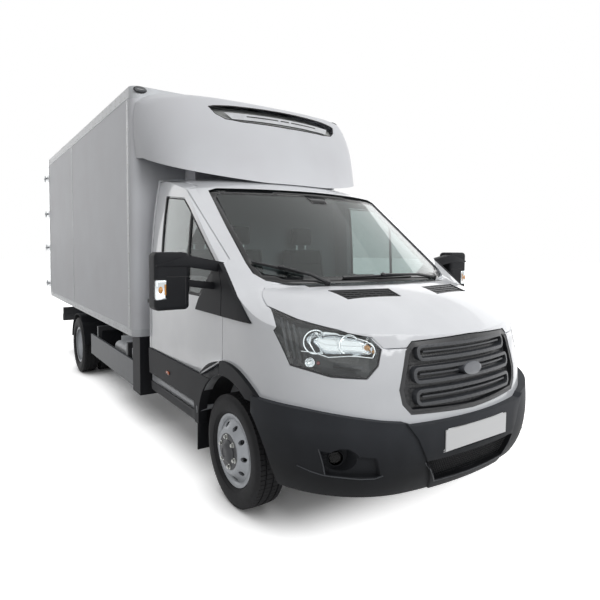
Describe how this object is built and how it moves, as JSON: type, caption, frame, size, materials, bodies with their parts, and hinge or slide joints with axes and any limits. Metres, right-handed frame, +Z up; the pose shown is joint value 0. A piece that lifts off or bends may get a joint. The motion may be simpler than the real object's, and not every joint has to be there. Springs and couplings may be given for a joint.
{
  "type": "refrigerated truck",
  "caption": "Light refrigerated truck: chassis cab with insulated load box, roof air fairing with condenser, twin rear wheels, hinged doors and bonnet.",
  "frame": {"origin": "on the ground, at the middle of the bounding box's footprint", "axes": "+Z up; the truck faces -Y and its left side is +X"},
  "size_m": [2.796, 7.0427, 2.907],
  "materials": {
    "white_paint": "gloss",
    "white_panel": "satin",
    "white_plastic": "matt",
    "grey_paint": "satin",
    "black_steel": "satin",
    "silver_steel": "satin",
    "cast_metal": "rough",
    "aluminium": "satin",
    "black_plastic": "matt",
    "grey_plastic": "matt",
    "lamp_lens": "clear",
    "glass": "clear",
    "seat_cloth": "woven",
    "tyre_rubber": "matt"
  },
  "bodies": {
    "chassis": {"chassis_frame": "black_steel", "front_suspension": "black_steel", "rear_axle": "black_steel", "leaf_springs": "black_steel", "drive_train": "cast_metal", "radiator": "aluminium", "exhaust": "aluminium", "fuel_tank": "white_plastic", "side_lockers": "black_plastic", "side_guards": "grey_paint", "rear_mudguards": "black_plastic", "rear_beam": "black_steel", "marker_lamps": "lamp_lens", "cab_body": "white_paint", "windscreen": "glass", "front_bumper": "black_plastic", "grille": "black_plastic", "headlamps": "lamp_lens", "side_cladding": "black_plastic", "arch_liners": "black_plastic", "dashboard": "grey_plastic", "driver_seat": "seat_cloth", "passenger_seat": "seat_cloth", "box_floor": "aluminium", "box_front_wall": "white_panel", "box_side_left": "white_panel", "box_side_right": "white_panel", "box_roof": "white_panel", "rear_portal": "aluminium", "air_fairing": "white_panel", "condenser_unit": "white_plastic", "evaporator": "white_plastic"},
    "bonnet": {"bonnet": "white_paint"},
    "cab_door_left": {"cab_door_left": "white_paint", "door_glass_left": "glass", "mirror_left": "black_plastic"},
    "cab_door_right": {"cab_door_right": "white_paint", "door_glass_right": "glass", "mirror_right": "black_plastic"},
    "rear_door_left": {"rear_door_left": "white_panel"},
    "rear_door_right": {"rear_door_right": "white_panel"},
    "steering_wheel": {"steering_wheel": "black_plastic"},
    "knuckle_left": {"front_knuckle_left": "cast_metal"},
    "knuckle_right": {"front_knuckle_right": "cast_metal"},
    "wheel_front_left": {"tyre_front_left": "tyre_rubber", "rim_front_left": "silver_steel"},
    "wheel_front_right": {"tyre_front_right": "tyre_rubber", "rim_front_right": "silver_steel"},
    "wheels_rear_left": {"tyres_rear_left": "tyre_rubber", "rim_rear_left": "silver_steel"},
    "wheels_rear_right": {"tyres_rear_right": "tyre_rubber", "rim_rear_right": "silver_steel"}
  },
  "joints": [
    {"name": "steer_left", "type": "hinge", "parent": "chassis", "child": "knuckle_left", "pos_m": [0.8, -2.499, 0.19], "axis": [-0.1667, 0, 0.986], "range_deg": [-35, 35]},
    {"name": "wheel_spin_front_left", "type": "hinge", "parent": "knuckle_left", "child": "wheel_front_left", "pos_m": [0.881, -2.499, 0.342], "axis": [1, 0, 0], "continuous": true},
    {"name": "wheel_spin_rear_left", "type": "hinge", "parent": "chassis", "child": "wheels_rear_left", "pos_m": [0.8685, 1.455, 0.342], "axis": [1, 0, 0], "continuous": true},
    {"name": "cab_door_left_hinge", "type": "hinge", "parent": "chassis", "child": "cab_door_left", "pos_m": [1.034, -2.455, 1.2], "axis": [0, 0, -1], "range_deg": [0, 68]},
    {"name": "rear_door_left_hinge", "type": "hinge", "parent": "chassis", "child": "rear_door_left", "pos_m": [1.133, 3.495, 1.85], "axis": [0, 0, -1], "range_deg": [0, 270]},
    {"name": "steer_right", "type": "hinge", "parent": "chassis", "child": "knuckle_right", "pos_m": [-0.8, -2.499, 0.19], "axis": [0.1667, 0, 0.986], "range_deg": [-35, 35]},
    {"name": "wheel_spin_front_right", "type": "hinge", "parent": "knuckle_right", "child": "wheel_front_right", "pos_m": [-0.881, -2.499, 0.342], "axis": [1, 0, 0], "continuous": true},
    {"name": "wheel_spin_rear_right", "type": "hinge", "parent": "chassis", "child": "wheels_rear_right", "pos_m": [-0.8685, 1.455, 0.342], "axis": [1, 0, 0], "continuous": true},
    {"name": "cab_door_right_hinge", "type": "hinge", "parent": "chassis", "child": "cab_door_right", "pos_m": [-1.034, -2.455, 1.2], "axis": [0, 0, 1], "range_deg": [0, 68]},
    {"name": "rear_door_right_hinge", "type": "hinge", "parent": "chassis", "child": "rear_door_right", "pos_m": [-1.133, 3.495, 1.85], "axis": [0, 0, 1], "range_deg": [0, 270]},
    {"name": "bonnet_hinge", "type": "hinge", "parent": "chassis", "child": "bonnet", "pos_m": [0, -2.645, 1.369], "axis": [-1, 0, 0], "range_deg": [0, 55]},
    {"name": "steering_wheel_turn", "type": "hinge", "parent": "chassis", "child": "steering_wheel", "pos_m": [0.43, -1.889, 1.19], "axis": [0, 0.848, 0.5299], "range_deg": [-560, 560]}
  ],
  "couplings": [
    {"joint": "steer_right", "follows": "steer_left", "ratio": 1},
    {"joint": "steering_wheel_turn", "follows": "steer_left", "ratio": 16}
  ]
}
